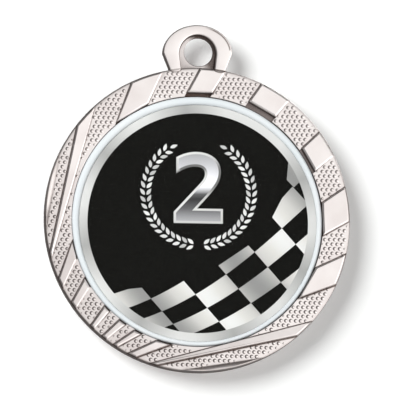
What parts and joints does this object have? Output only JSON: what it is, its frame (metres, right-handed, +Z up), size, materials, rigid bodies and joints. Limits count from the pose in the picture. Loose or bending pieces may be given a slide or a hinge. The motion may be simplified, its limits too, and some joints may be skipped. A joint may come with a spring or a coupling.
{
  "type": "medal",
  "caption": "Round cast medal with a relief ring of fanned bars, a fixed ribbon loop with a round eye, and a glued round printed insert under a clear dome.",
  "frame": {"origin": "centre of the disc on its flat back face", "axes": "+Z up through the ribbon loop, +Y out of the back, so the front faces -Y, and +X to the right seen from the front"},
  "size_m": [0.065, 0.003, 0.0742],
  "materials": {
    "cast_zinc": "satin antique-silver plate over cast zinc alloy, darker in the crevices of the relief",
    "adhesive_tape": "matte double-sided tape, hidden",
    "coated_tray": "gloss pale blue-white coat on a thin pressed tray",
    "printed_film": "black film with metallic silver print",
    "clear_resin": "clear glossy polyurethane resin"
  },
  "bodies": {
    "root": {"medal_body": "cast_zinc", "insert_adhesive": "adhesive_tape", "insert_tray": "coated_tray", "printed_disc": "printed_film", "clear_dome": "clear_resin"}
  },
  "joints": []
}
